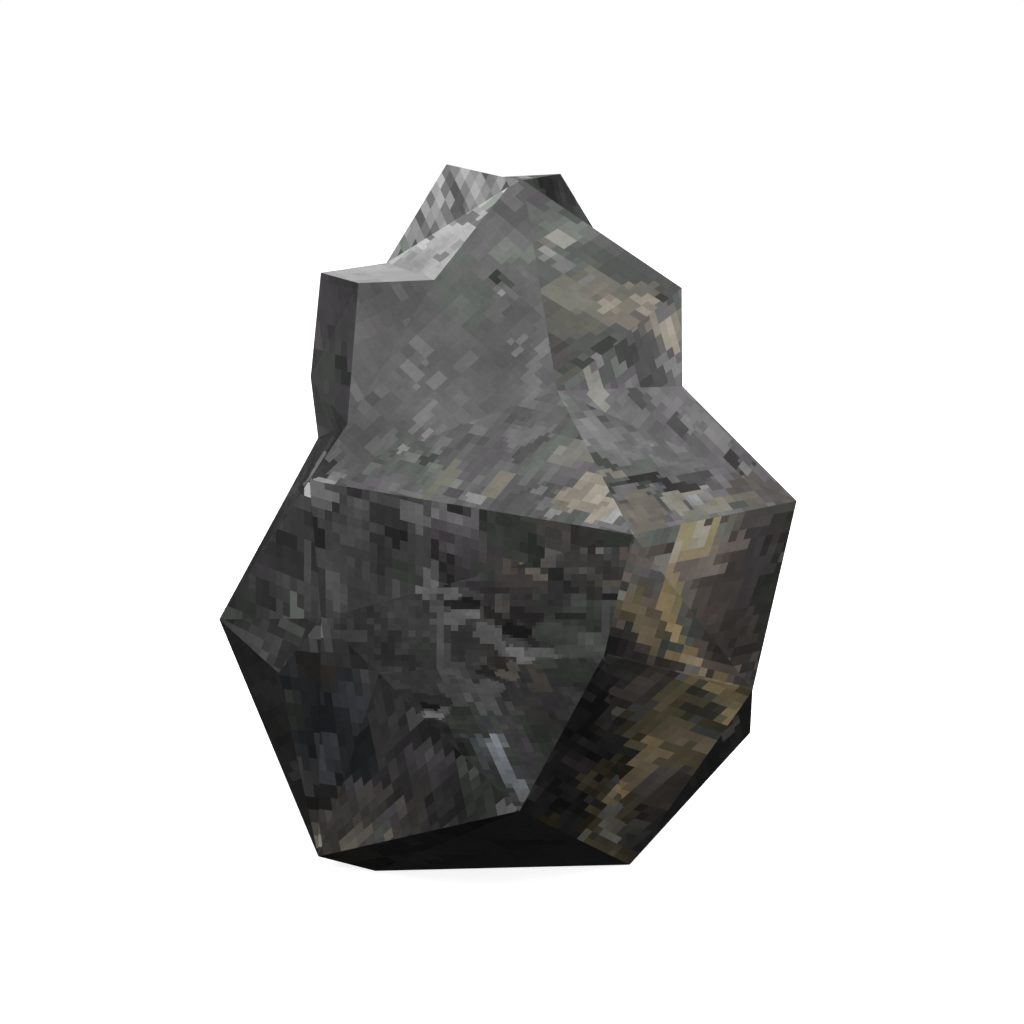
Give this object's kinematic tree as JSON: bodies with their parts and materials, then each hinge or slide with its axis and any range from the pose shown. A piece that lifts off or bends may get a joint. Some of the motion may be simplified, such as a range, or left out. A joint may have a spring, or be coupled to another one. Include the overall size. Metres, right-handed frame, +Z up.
{
  "type": "black marble boulder",
  "caption": "Rough natural boulder of dark, mottled black marble, broken to flat facets, with a wide belly, a sloping ledge and a narrower crown block; rests on a small flat foot.",
  "frame": {"origin": "on the ground, under the middle of the boulder's bounding box", "axes": "+Z up, -Y the front (the broad facet with the ledge point), +X the boulder's right-hand side as the front is looked at"},
  "size_m": [0.412, 0.342, 0.513],
  "materials": {
    "black_marble": "semi-gloss, mottled"
  },
  "bodies": {
    "root": {"marble_rock": "black_marble"}
  },
  "joints": []
}
